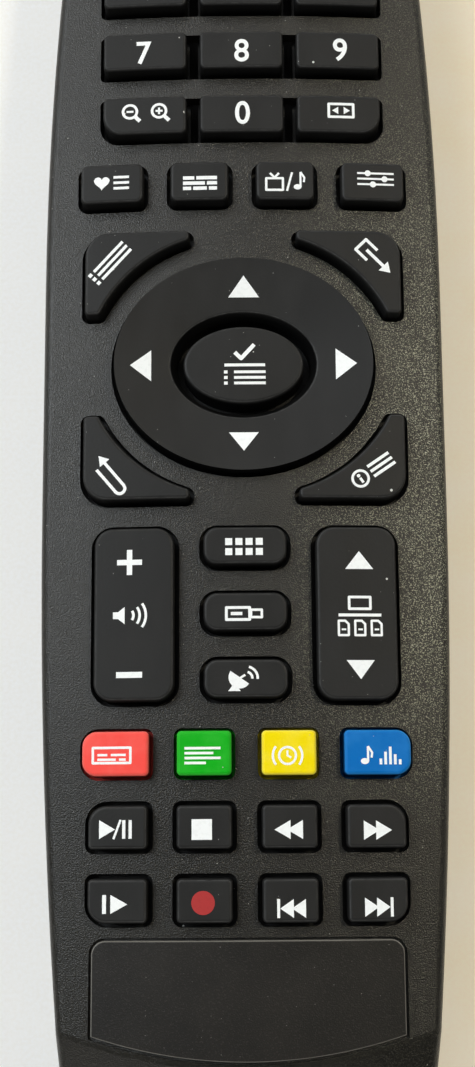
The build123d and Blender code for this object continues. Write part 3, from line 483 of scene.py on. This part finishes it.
def outline_box(low, high, width=LINE):
    """Rectangle drawn as a line that stays inside the two corners."""
    inset = Vector((width / 2, width / 2))
    return stroke(box(Vector(low) + inset, Vector(high) - inset), width, closed=True)


def arrow(tip, length, height, facing):
    """Triangle whose tip faces an angle in degrees."""
    forward = Vector((cos(radians(facing)), sin(radians(facing))))
    side = Vector((-forward.y, forward.x)) * height / 2
    foot = Vector(tip) - forward * length
    return [Vector(tip), foot + side, foot - side]


# ---------------------------------------------------------------- symbols on the keys

def magnifier(x, plus):
    """Lens with a handle, marked with a minus or a plus."""
    shapes = ring((x, 0.22), 0.9, 0.34)
    shapes.append(bar((x + 0.6, -0.42), (x + 1.3, -1.12), 0.5))
    shapes.append(bar((x - 0.45, 0.22), (x + 0.45, 0.22), 0.27))
    if plus:
        shapes.append(bar((x, -0.23), (x, 0.67), 0.27))
    return shapes


def zoom_symbol():
    return magnifier(-2.05, False) + magnifier(1.7, True)


def format_symbol():
    """Picture frame with an arrow to each side."""
    shapes = outline_box((-1.75, -1.05), (1.75, 1.05), 0.34)
    shapes.append(arrow((-1.15, 0), 0.8, 1.0, 180))
    shapes.append(arrow((1.15, 0), 0.8, 1.0, 0))
    return shapes


def heart(centre, width):
    """Heart from its usual parametric curve, which is 32 units wide."""
    steps = 32
    scale = width / 32
    points = []
    for step in range(steps):
        a = 2 * pi * step / steps
        x = 16 * sin(a) ** 3
        y = 13 * cos(a) - 5 * cos(2 * a) - 2 * cos(3 * a) - cos(4 * a)
        points.append(Vector((centre[0] + x * scale, centre[1] + y * scale)))
    return points


# where the three lines of a list lie
LIST_HEIGHTS = (0.74, 0.0, -0.74)


def rows(left, right, heights=LIST_HEIGHTS, width=LINE):
    """Lines of a list."""
    return [bar((left, height), (right, height), width) for height in heights]


def favourites_symbol():
    return [heart((-1.25, 0.08), 2.0)] + rows(0.25, 2.25)


def guide_symbol():
    """Programme blocks of uneven length on three channels."""
    channels = ((0.7, (-2.3, -0.6, 2.3)), (0.0, (-2.3, 0.75, 2.3)), (-0.7, (-2.3, -1.0, 1.0, 2.3)))
    half_gap, half_height = 0.13, 0.23
    shapes = []
    for height, joints in channels:
        for left, right in zip(joints, joints[1:]):
            shapes.append(box((left + half_gap, height - half_height),
                              (right - half_gap, height + half_height)))
    return shapes


def note(x, y, height):
    """Quaver: oval head, stem and flag."""
    steps = 20
    angles = [2 * pi * step / steps for step in range(steps)]
    head = [Vector((x + 0.50 * cos(a), y + 0.36 * sin(a))) for a in angles]
    stem_x = x + 0.38
    top = y + height
    flag = [(stem_x, top), (stem_x + 0.5, top - 0.75), (stem_x + 0.42, top - 1.35)]
    return [head, bar((stem_x, y), (stem_x, top), 0.26)] + stroke(flag, 0.26)


def tv_radio_symbol():
    """Television with rabbit ears, a slash and a note."""
    shapes = outline_box((-2.73, -1.42), (-0.31, 0.45), 0.3)
    shapes += stroke([(-2.1, 1.0), (-1.52, 0.4), (-0.94, 1.0)], 0.28)
    shapes.append(bar((0.05, -1.4), (0.72, 1.1), 0.27))
    return shapes + note(1.4, -0.85, 2.0)


def options_symbol():
    """Three sliders."""
    shapes = rows(-2.35, 2.35, width=0.26)
    for x, y in ((-1.0, 0.74), (1.15, 0.0), (-0.35, -0.74)):
        shapes.append(disc((x, y), 0.4))
    return shapes


def menu_symbol():
    """List with a bullet before each line."""
    shapes = rows(-2.2, 3.1, width=0.38)
    for height in LIST_HEIGHTS:
        shapes.append(box((-3.1, height - 0.23), (-2.6, height + 0.23)))
    return shapes


def exit_symbol():
    """Arrow that leaves through a doorway."""
    shapes = stroke([(-0.5, 0.95), (-2.5, 0.95), (-2.5, -0.95), (-0.5, -0.95)], 0.38)
    shapes.append(bar((-1.5, 0), (1.6, 0), 0.42))
    shapes.append(arrow((2.7, 0), 1.25, 1.7, 0))
    return shapes


def recall_symbol():
    """Arrow that turns back on itself."""
    shapes = stroke([(-1.7, 0.45), *arc((2.1, -0.2), 0.65, 90, -90, 10), (-1.6, -0.85)], 0.38)
    shapes.append(arrow((-2.8, 0.45), 1.2, 1.5, 180))
    return shapes


def info_symbol():
    """Ringed dot and stroke beside three lines."""
    shapes = ring((-1.9, 0), 1.0, 0.32)
    shapes.append(disc((-1.9, 0.42), 0.22, 16))
    shapes.append(bar((-1.9, 0.1), (-1.9, -0.62), 0.34))
    return shapes + rows(-0.35, 2.9, (0.72, 0.0, -0.72), 0.38)


def ok_symbol():
    """Tick above a bar, and the lines of a list below it."""
    shapes = stroke([(-1.25, 1.55), (-0.45, 0.75), (1.2, 2.55)], 0.5)
    shapes.append(bar((-2.55, -0.1), (2.55, -0.1), 0.38))
    for height in (-1.0, -1.72, -2.44):
        shapes.append(bar((-1.35, height), (2.6, height), 0.36))
        shapes.append(box((-2.6, height - 0.2), (-2.15, height + 0.2)))
    return shapes


def plus_symbol():
    return [bar((-1.53, 0), (1.53, 0), 0.66), bar((0, -1.55), (0, 1.55), 0.66)]


def minus_symbol():
    return [bar((-1.57, 0), (1.57, 0), 0.72)]


def speaker(x):
    """Loudspeaker seen from the side."""
    return [[Vector(p) for p in ((x, -0.42), (x + 0.62, -0.42), (x + 1.42, -1.05),
                                 (x + 1.42, 1.05), (x + 0.62, 0.42), (x, 0.42))]]


def volume_symbol():
    shapes = speaker(-2.2)
    for radius in (0.95, 1.7, 2.45):
        shapes += stroke(arc((-0.65, 0), radius, -36, 36, 8), 0.32)
    return shapes


def page_symbol():
    """Television above a bar, and three sheets below it."""
    shapes = outline_box((-1.45, 0.75), (1.45, 2.5), 0.32)
    shapes.append(bar((-2.6, 0.15), (2.6, 0.15), 0.36))
    for x in (-2.0, 0.0, 2.0):
        shapes += stroke([(x - 0.6, -0.55), (x + 0.2, -0.55), (x + 0.6, -0.95),
                          (x + 0.6, -2.3), (x - 0.6, -2.3)], 0.28, closed=True)
        shapes.append(bar((x - 0.25, -1.6), (x + 0.3, -1.6), 0.22))
    return shapes


def apps_symbol():
    """Tiles in two rows."""
    tile, pitch = 0.86, 1.24
    shapes = []
    for column in range(4):
        for row in range(2):
            x, y = (column - 1.5) * pitch, (row - 0.5) * pitch
            shapes.append(box((x - tile / 2, y - tile / 2), (x + tile / 2, y + tile / 2)))
    return shapes


def usb_symbol():
    """Memory stick."""
    shapes = outline_box((-2.3, -0.9), (0.85, 0.9), 0.34)
    shapes += outline_box((0.7, -0.6), (2.3, 0.6), 0.3)
    shapes.append(bar((-1.6, 0), (-0.2, 0), 0.4))
    return shapes


def satellite_symbol():
    """Dish on its foot, with two waves."""
    bowl = arc((-0.5, 0.45), 1.35, 145, 325, 20)
    shapes = [bowl, arrow((-1.15, -0.2), 1.0, 1.5, 90)]
    shapes.append(bar((-0.7, 0.2), (0.15, 0.75), 0.26))
    for radius in (0.75, 1.4):
        shapes += stroke(arc((0.25, 0.35), radius, -5, 75, 8), 0.3)
    return shapes


def subtitle_symbol():
    """Screen with two lines of text along its foot."""
    shapes = outline_box((-2.4, -1.05), (2.4, 1.05), 0.3)
    words = ((-1.7, -0.5, 0.05), (-0.1, 1.7, 0.05), (-1.7, 0.5, -0.5), (0.9, 1.7, -0.5))
    for left, right, height in words:
        shapes.append(bar((left, height), (right, height), 0.28))
    return shapes


def text_symbol():
    """Ragged paragraph."""
    ends = ((0.87, 2.15), (0.29, 1.3), (-0.29, 2.15), (-0.87, 0.4))
    return [bar((-2.15, height), (right, height), 0.3) for height, right in ends]


def timer_symbol():
    """Clock face between two ringing strokes."""
    shapes = ring((0, 0), 1.0, 0.28) + stroke([(0, 0.62), (0, 0), (0.45, -0.25)], 0.24)
    for first in (-38, 142):
        shapes += stroke(arc((0, 0), 1.75, first, first + 76, 8), 0.28)
    return shapes


def audio_symbol():
    """Note beside a level meter."""
    shapes = note(-1.75, -0.65, 1.75)
    for step, height in enumerate((0.7, 1.5, 2.1, 1.2, 0.6)):
        x = 0.15 + 0.58 * step
        shapes.append(bar((x, -1.05), (x, -1.05 + height), 0.32))
    return shapes


def play_pause_symbol():
    return [arrow((-0.06, 0), 1.9, 2.2, 0), bar((-0.25, -1.12), (0.6, 1.12), 0.26),
            bar((0.98, -1.08), (0.98, 1.08), 0.38), bar((1.74, -1.08), (1.74, 1.08), 0.38)]


def stop_symbol():
    return [box((-1.2, -1.2), (1.2, 1.2))]


def rewind_symbol():
    return [arrow((-1.68, 0), 1.9, 2.2, 180), arrow((-0.2, 0), 1.88, 2.2, 180)]


def fast_forward_symbol():
    return [arrow((1.68, 0), 1.9, 2.25, 0), arrow((0.2, 0), 1.88, 2.25, 0)]


def step_symbol():
    return [bar((-1.24, -1.08), (-1.24, 1.08), 0.46), arrow((1.5, 0), 2.0, 2.17, 0)]


def record_symbol():
    return [disc((0, 0), 1.38, 40)]


def previous_symbol():
    return [bar((-1.5, -1.08), (-1.5, 1.08), 0.34), arrow((-1.32, 0), 1.6, 2.16, 180),
            arrow((0.05, 0), 1.65, 2.16, 180)]


def next_symbol():
    return [bar((1.5, -1.1), (1.5, 1.1), 0.34), arrow((1.32, 0), 1.6, 2.2, 0),
            arrow((-0.05, 0), 1.65, 2.2, 0)]


def power_symbol():
    """Broken ring with a stroke through the gap."""
    return stroke(arc((0, -0.15), 1.35, 125, 415, 28), 0.4) + [bar((0, 0.1), (0, 1.6), 0.4)]


def mute_symbol():
    """Loudspeaker crossed out."""
    cross = [bar((0.3, 0.65), (1.6, -0.65), 0.34), bar((0.3, -0.65), (1.6, 0.65), 0.34)]
    return speaker(-1.8) + cross


# ---------------------------------------------------------------- printing on the keys

# in millimetres: how far the ink stands above a key and reaches into it, the widest spacing of its
# points, and a height above all of the keys
INK_RISE = 0.02
INK_SINK = 0.03
PRINT_STEP = 0.8
ABOVE_KEYS = 40.0
# what the triangulation keeps and how near its points may be to count as one
INSIDE_OF_POLYGONS = 1
SAME_POINT = 1e-5


def key_surface(node):
    """Function that gives the height of a key's top at a place in plan, in millimetres."""
    mesh = frame["nodes"][node].data
    tree = BVHTree.FromPolygons([vertex.co / MM for vertex in mesh.vertices],
                                [tuple(polygon.vertices) for polygon in mesh.polygons])

    def height(place):
        found = tree.ray_cast(Vector((place.x, place.y, ABOVE_KEYS)), Vector((0, 0, -1)))[0]
        return found.z

    return height


def prepared(polygon):
    """The polygon in anticlockwise order, with extra points along its long sides."""
    corners = list(zip(polygon, polygon[1:] + polygon[:1]))
    if sum(a.x * b.y - b.x * a.y for a, b in corners) < 0:
        corners = [(b, a) for a, b in reversed(corners)]
    points = []
    for a, b in corners:
        count = ceil((b - a).length / PRINT_STEP)
        points += [a.lerp(b, step / count) for step in range(count)]
    return points


def merged(polygons):
    """Triangles that cover overlapping polygons once, with points on a grid inside them."""
    points, faces = [], []
    for polygon in map(prepared, polygons):
        faces.append(list(range(len(points), len(points) + len(polygon))))
        points += polygon
    low = (min(p.x for p in points), min(p.y for p in points))
    high = (max(p.x for p in points), max(p.y for p in points))
    counts = [int((b - a) / PRINT_STEP) for a, b in zip(low, high)]
    points += [Vector((low[0] + PRINT_STEP * (column + 0.5), low[1] + PRINT_STEP * (row + 0.5)))
               for column in range(counts[0]) for row in range(counts[1])]
    cut = delaunay_2d_cdt(points, [], faces, INSIDE_OF_POLYGONS, SAME_POINT)
    found, _, triangles, _, _, sources = cut
    covered = [triangle for triangle, source in zip(triangles, sources) if source]
    used = sorted({index for triangle in covered for index in triangle})
    renumbered = {index: number for number, index in enumerate(used)}
    return [found[index] for index in used], [tuple(renumbered[k] for k in t) for t in covered]


def print_on_key(name, key, polygons, centre, turn=0.0, material=WHITE_INK):
    """Thin layer of ink that follows the top of a key. A key and its body have the same name."""
    points, triangles = merged(polygons)
    spin = Matrix.Rotation(radians(turn), 2)
    height = key_surface(key)
    placed = [spin @ point + Vector(centre) for point in points]
    vertices = [(p.x, p.y, height(p) + INK_RISE) for p in placed]
    vertices += [(p.x, p.y, height(p) - INK_SINK) for p in placed]
    count = len(placed)
    edges = {(t[k], t[(k + 1) % 3]) for t in triangles for k in range(3)}
    wear_and_highlight = sorted((a, b) for a, b in edges if (b, a) not in edges)
    faces = triangles + [tuple(count + index for index in reversed(t)) for t in triangles]
    faces += [(b, a, count + a, count + b) for a, b in wear_and_highlight]
    mesh = bpy.data.meshes.new(name)
    mesh.from_pydata([Vector(v) * MM for v in vertices], [], faces)
    mesh.materials.append(material)
    piece = bpy.data.objects.new(name, mesh)
    bpy.context.scene.collection.objects.link(piece)
    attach(piece, key)


def key_centre(node):
    """Middle of a key in plan, in millimetres."""
    low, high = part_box(node)
    return ((low.x + high.x) / 2 / MM, (low.y + high.y) / 2 / MM)


DIGIT_HEIGHT = 3.14
DIGIT_NARROWING = 0.94
# how far the font's outlines are widened, as a share of its size
DIGIT_WEIGHT = 0.015
# the printing sits a little off the middle of some keys
DIGIT_SHIFTS = {"7": (-0.12, -0.26), "8": (0.05, -0.19), "9": (0.35, 0.02), "0": (0.11, 0.05)}


def digit_outline(digit):
    """Faces of a digit of the built-in font, centred, with the height of the digits on the keys."""
    curve = bpy.data.curves.new("digit", "FONT")
    curve.body = digit
    curve.offset = DIGIT_WEIGHT
    holder = bpy.data.objects.new("digit", curve)
    bpy.context.scene.collection.objects.link(holder)
    evaluated = holder.evaluated_get(bpy.context.evaluated_depsgraph_get())
    mesh = bpy.data.meshes.new_from_object(evaluated)
    bpy.data.objects.remove(holder)
    xs = [vertex.co.x for vertex in mesh.vertices]
    ys = [vertex.co.y for vertex in mesh.vertices]
    middle = Vector(((min(xs) + max(xs)) / 2, (min(ys) + max(ys)) / 2))
    scale = DIGIT_HEIGHT / (max(ys) - min(ys))
    polygons = []
    for face in mesh.polygons:
        corners = [mesh.vertices[index].co.to_2d() - middle for index in face.vertices]
        polygons.append([Vector((p.x * scale * DIGIT_NARROWING, p.y * scale)) for p in corners])
    return polygons


def print_digits():
    """The numbers of the number block."""
    for digit in "0123456789":
        key = f"digit_{digit}_key"
        centre = Vector(key_centre(key)) + Vector(DIGIT_SHIFTS.get(digit, (0, 0)))
        print_on_key(f"digit_{digit}_print", key, digit_outline(digit), centre)


# each print: its name, the key, the drawing, its middle in millimetres and its turn in degrees
PRINTS = (
    ("zoom_print", "zoom_key", zoom_symbol(), (-12.3, 41.33), 0),
    ("format_print", "format_key", format_symbol(), (12.77, 41.49), 0),
    ("favourites_print", "favourites_key", favourites_symbol(), (-16.67, 31.95), 0),
    ("guide_print", "guide_key", guide_symbol(), (-5.36, 31.58), 0),
    ("tv_radio_print", "tv_radio_key", tv_radio_symbol(), (5.64, 31.84), 0),
    ("options_print", "options_key", options_symbol(), (17.03, 32.26), 0),
    ("menu_print", "menu_key", menu_symbol(), (-16.77, 21.22), 47),
    ("exit_print", "exit_key", exit_symbol(), (16.72, 21.64), -45),
    ("recall_print", "recall_key", recall_symbol(), (-16.55, -6.23), -50),
    ("info_print", "info_key", info_symbol(), (15.84, -5.84), 35),
    ("up_print", "navigation_ring", [arrow((0, 1.38), 2.76, 3.89, 90)], (0.07, 18.02), 0),
    ("left_print", "navigation_ring", [arrow((-1.31, 0), 2.63, 4.0, 180)], (-12.86, 7.75), 0),
    ("right_print", "navigation_ring", [arrow((1.31, 0), 2.63, 4.0, 0)], (12.84, 7.83), 0),
    ("down_print", "navigation_ring", [arrow((0, -1.2), 2.41, 3.7, 270)], (-0.02, -2.08), 0),
    ("ok_print", "ok_key", ok_symbol(), (0.15, 7.98), 0),
    ("volume_up_print", "volume_rocker", plus_symbol(), (-14.07, -17.21), 0),
    ("volume_print", "volume_rocker", volume_symbol(), (-13.85, -23.72), 0),
    ("volume_down_print", "volume_rocker", minus_symbol(), (-14.05, -30.92), 0),
    ("channel_up_print", "channel_rocker", [arrow((0, 1.11), 2.22, 3.43, 90)], (13.87, -17.10), 0),
    ("channel_page_print", "channel_rocker", page_symbol(), (13.85, -24.0), 0),
    ("channel_down_print", "channel_rocker", [arrow((0, -1.15), 2.29, 3.4, 270)],
     (13.83, -30.46), 0),
    ("apps_print", "apps_key", apps_symbol(), (-0.12, -15.43), 0),
    ("usb_print", "usb_key", usb_symbol(), (-0.18, -23.64), 0),
    ("satellite_print", "satellite_key", satellite_symbol(), (-0.24, -31.79), 0),
    ("subtitle_print", "red_key", subtitle_symbol(), (-16.09, -40.49), 0),
    ("text_print", "green_key", text_symbol(), (-5.24, -40.60), 0),
    ("timer_print", "yellow_key", timer_symbol(), (4.86, -40.67), 0),
    ("audio_print", "blue_key", audio_symbol(), (15.83, -40.71), 0),
    ("play_pause_print", "play_pause_key", play_pause_symbol(), (-15.55, -49.17), 0),
    ("stop_print", "stop_key", stop_symbol(), (-5.35, -49.24), 0),
    ("rewind_print", "rewind_key", rewind_symbol(), (4.89, -49.31), 0),
    ("fast_forward_print", "fast_forward_key", fast_forward_symbol(), (15.45, -49.44), 0),
    ("step_print", "step_key", step_symbol(), (-15.60, -57.80), 0),
    ("previous_print", "previous_key", previous_symbol(), (5.10, -58.37), 0),
    ("next_print", "next_key", next_symbol(), (15.42, -58.30), 0),
    ("power_print", "power_key", power_symbol(), key_centre("power_key"), 0),
    ("mute_print", "mute_key", mute_symbol(), key_centre("mute_key"), 0),
)

print_digits()
for print_name, key, drawing, middle, turn in PRINTS:
    print_on_key(print_name, key, drawing, middle, turn)
print_on_key("record_print", "record_key", record_symbol(), (-5.22, -57.68), 0, RED_INK)


# ---------------------------------------------------------------- floor and light

# the floor's half width in metres, and the share of its colour that it gives off as background
FLOOR_REACH = 3.0
FLOOR_GLOW = 0.45
FLOOR_COOL = (0.68, 0.68, 0.673)
FLOOR_WARM = (0.71, 0.622, 0.455)
FLOOR_FIBRE = (0.52, 0.46, 0.34)
FLOOR_CLOUD = (0.72, 0.70, 0.66)
FLOOR_FAR = (0.58, 0.575, 0.56)
# in metres: where the cool side turns into the warm one, and how far away the floor turns grey
COOL_TO_WARM = (-0.02, 0.035)
NEAR_TO_FAR = (0.08, 0.22)


def make_floor():
    """Pale table, cool on the window's side, warmer on the other and plain further away."""
    mesh = bpy.data.meshes.new("floor")
    signs = ((-1, -1), (1, -1), (1, 1), (-1, 1))
    corners = [(x * FLOOR_REACH, y * FLOOR_REACH, 0) for x, y in signs]
    mesh.from_pydata(corners, [], [(0, 1, 2, 3)])
    floor = bpy.data.objects.new("floor", mesh)
    bpy.context.scene.collection.objects.link(floor)
    surface = Surface("pale_table", (0.8, 0.79, 0.76), 0.7, specular=0.0)
    across = surface.ranged(surface.axis("X"), *COOL_TO_WARM)
    tone = surface.blend(across, FLOOR_COOL, FLOOR_WARM)
    fibre = surface.ranged(surface.noise(0.5), *MIDDLE_NOISE, 0.0, 0.12)
    cloud = surface.ranged(surface.noise(9.0, detail=3.0), *WHOLE_NOISE, 0.0, 0.25)
    clouded = surface.blend(cloud, surface.blend(fibre, tone, FLOOR_FIBRE), FLOOR_CLOUD)
    distance = surface.node("ShaderNodeVectorMath", operation="LENGTH")
    surface.link(surface.place, distance.inputs[0])
    away = surface.ranged(distance.outputs["Value"], *NEAR_TO_FAR)
    greyer = surface.blend(away, clouded, FLOOR_FAR)
    surface.colour(greyer)
    surface.glow(greyer, FLOOR_GLOW)
    mesh.materials.append(surface.material)


LAMP_TARGET = Vector((0, 0, 0.02))
# each lamp: its name, its place and its size in metres, its power in watts and its colour
LAMPS = (
    ("window_light", (-1.01, 0.48, 1.38), (0.61, 1.12), 17.5, (0.90, 0.965, 1.0)),
    ("warm_light", (0.78, 0.44, 1.48), (0.18, 0.18), 7.8, (1.0, 0.90, 0.68)),
    ("far_light", (-0.46, 1.09, 1.28), (1.10, 0.54), 4.2, (1.0, 0.99, 0.97)),
    ("near_light", (-0.42, -1.29, 0.54), (1.30, 0.54), 4.3, (1.0, 0.98, 0.94)),
)


def make_lamp(name, place, size, power, colour):
    """Soft rectangular lamp aimed at the middle of the handset."""
    data = bpy.data.lights.new(name, "AREA")
    data.shape = "RECTANGLE"
    data.size, data.size_y = size
    data.energy = power
    data.color = colour
    lamp = bpy.data.objects.new(name, data)
    lamp.location = place
    lamp.rotation_euler = (LAMP_TARGET - Vector(place)).to_track_quat("-Z", "Y").to_euler()
    bpy.context.scene.collection.objects.link(lamp)


# the world's strength by the Y of its direction, from the side of the heel to the infrared end
WORLD_LEVEL = (("From Min", -0.3), ("From Max", 0.8), ("To Min", 0.05), ("To Max", 0.55))
WORLD_COLOUR = (1.0, 1.0, 0.99, 1)


def make_world():
    """Soft light from all round, stronger from the far end of the handset."""
    world = bpy.data.worlds.new("studio")
    bpy.context.scene.world = world
    world.use_nodes = True
    nodes, links = world.node_tree.nodes, world.node_tree.links
    parts = nodes.new("ShaderNodeSeparateXYZ")
    links.new(nodes.new("ShaderNodeTexCoord").outputs["Generated"], parts.inputs["Vector"])
    level = nodes.new("ShaderNodeMapRange")
    for socket, value in WORLD_LEVEL:
        level.inputs[socket].default_value = value
    links.new(parts.outputs["Y"], level.inputs["Value"])
    nodes["Background"].inputs["Color"].default_value = WORLD_COLOUR
    links.new(level.outputs["Result"], nodes["Background"].inputs["Strength"])


make_floor()
make_world()
for lamp_row in LAMPS:
    make_lamp(*lamp_row)
